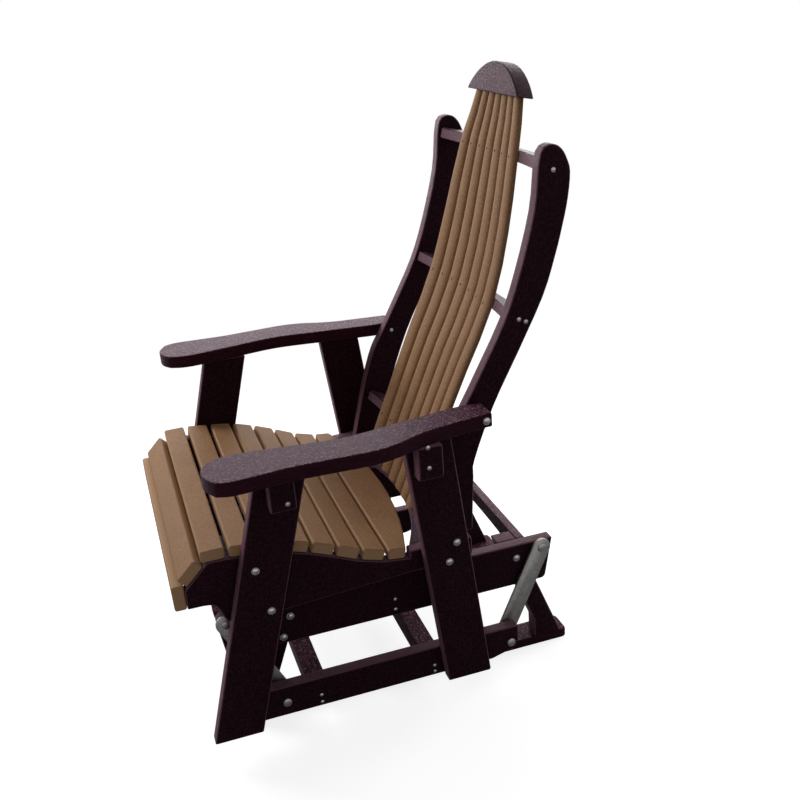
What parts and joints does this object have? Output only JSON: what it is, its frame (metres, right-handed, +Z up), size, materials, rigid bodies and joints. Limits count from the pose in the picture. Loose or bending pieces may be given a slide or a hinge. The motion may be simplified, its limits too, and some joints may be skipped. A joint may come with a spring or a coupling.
{
  "type": "glider chair",
  "caption": "Slatted plastic-lumber glider chair whose high fan-back seat swings on steel arms from a fixed runner base.",
  "frame": {"origin": "centre of the footprint on the floor, under the runners", "axes": "+Z up, the sitter faces -Y, +X is the sitter's left"},
  "size_m": [0.762, 0.8043, 1.1757],
  "materials": {
    "dark_plastic_board": "embossed grain, satin",
    "tan_plastic_board": "brushed, matte",
    "grey_steel": "brushed"
  },
  "bodies": {
    "base": {"upper_rail_left": "dark_plastic_board", "upper_rail_right": "dark_plastic_board", "post_front_left": "dark_plastic_board", "post_front_right": "dark_plastic_board", "post_rear_left": "dark_plastic_board", "post_rear_right": "dark_plastic_board", "runner_left": "dark_plastic_board", "runner_right": "dark_plastic_board", "cross_board_rear": "dark_plastic_board", "cross_board_middle": "dark_plastic_board"},
    "seat": {"leg_front_left": "dark_plastic_board", "bracket_front_left": "dark_plastic_board", "leg_front_right": "dark_plastic_board", "bracket_front_right": "dark_plastic_board", "leg_rear_left": "dark_plastic_board", "bracket_rear_left": "dark_plastic_board", "leg_rear_right": "dark_plastic_board", "bracket_rear_right": "dark_plastic_board", "arm_left": "dark_plastic_board", "arm_right": "dark_plastic_board", "side_board_left": "dark_plastic_board", "side_board_right": "dark_plastic_board", "lower_rail_left": "dark_plastic_board", "lower_rail_right": "dark_plastic_board", "stretcher_front": "dark_plastic_board", "stretcher_rear": "dark_plastic_board", "apron": "tan_plastic_board", "nosing_slat": "tan_plastic_board", "seat_slat_1": "tan_plastic_board", "seat_slat_2": "tan_plastic_board", "seat_slat_3": "tan_plastic_board", "seat_slat_4": "tan_plastic_board", "seat_slat_5": "tan_plastic_board", "seat_slat_6": "tan_plastic_board", "seat_slat_7": "tan_plastic_board", "seat_slat_8": "tan_plastic_board", "rear_seat_rail": "dark_plastic_board", "upright_left": "dark_plastic_board", "upright_right": "dark_plastic_board", "back_rail_low": "dark_plastic_board", "back_rail_middle": "dark_plastic_board", "back_rail_high": "dark_plastic_board", "back_slat_1": "tan_plastic_board", "back_slat_2": "tan_plastic_board", "back_slat_3": "tan_plastic_board", "back_slat_4": "tan_plastic_board", "back_slat_5": "tan_plastic_board", "back_slat_6": "tan_plastic_board", "back_slat_7": "tan_plastic_board", "top_cap": "dark_plastic_board"},
    "arm_rear_left": {"swing_arm_rear_left": "grey_steel"},
    "arm_rear_right": {"swing_arm_rear_right": "grey_steel"},
    "arm_front_left": {"swing_arm_front_left": "grey_steel"},
    "arm_front_right": {"swing_arm_front_right": "grey_steel"}
  },
  "joints": [
    {"name": "swing_rear_left", "type": "hinge", "parent": "base", "child": "arm_rear_left", "pos_m": [0.2548, 0.3225, 0.2605], "axis": [1, 0, 0], "range_deg": [-8, 8]},
    {"name": "seat_swing", "type": "hinge", "parent": "arm_rear_left", "child": "seat", "pos_m": [0.2548, 0.235, 0.079], "axis": [1, 0, 0], "range_deg": [-11, 11]},
    {"name": "swing_rear_right", "type": "hinge", "parent": "base", "child": "arm_rear_right", "pos_m": [-0.2548, 0.3225, 0.2605], "axis": [1, 0, 0], "range_deg": [-8, 8]},
    {"name": "swing_front_left", "type": "hinge", "parent": "base", "child": "arm_front_left", "pos_m": [0.2548, -0.3165, 0.2605], "axis": [1, 0, 0], "range_deg": [-8, 8]},
    {"name": "swing_front_right", "type": "hinge", "parent": "base", "child": "arm_front_right", "pos_m": [-0.2548, -0.3165, 0.2605], "axis": [1, 0, 0], "range_deg": [-8, 8]}
  ],
  "couplings": [
    {"joint": "seat_swing", "follows": "swing_rear_left", "ratio": -1.3732},
    {"joint": "swing_rear_right", "follows": "swing_rear_left", "ratio": 1},
    {"joint": "swing_front_left", "follows": "swing_rear_left", "ratio": 1},
    {"joint": "swing_front_right", "follows": "swing_rear_left", "ratio": 1}
  ]
}
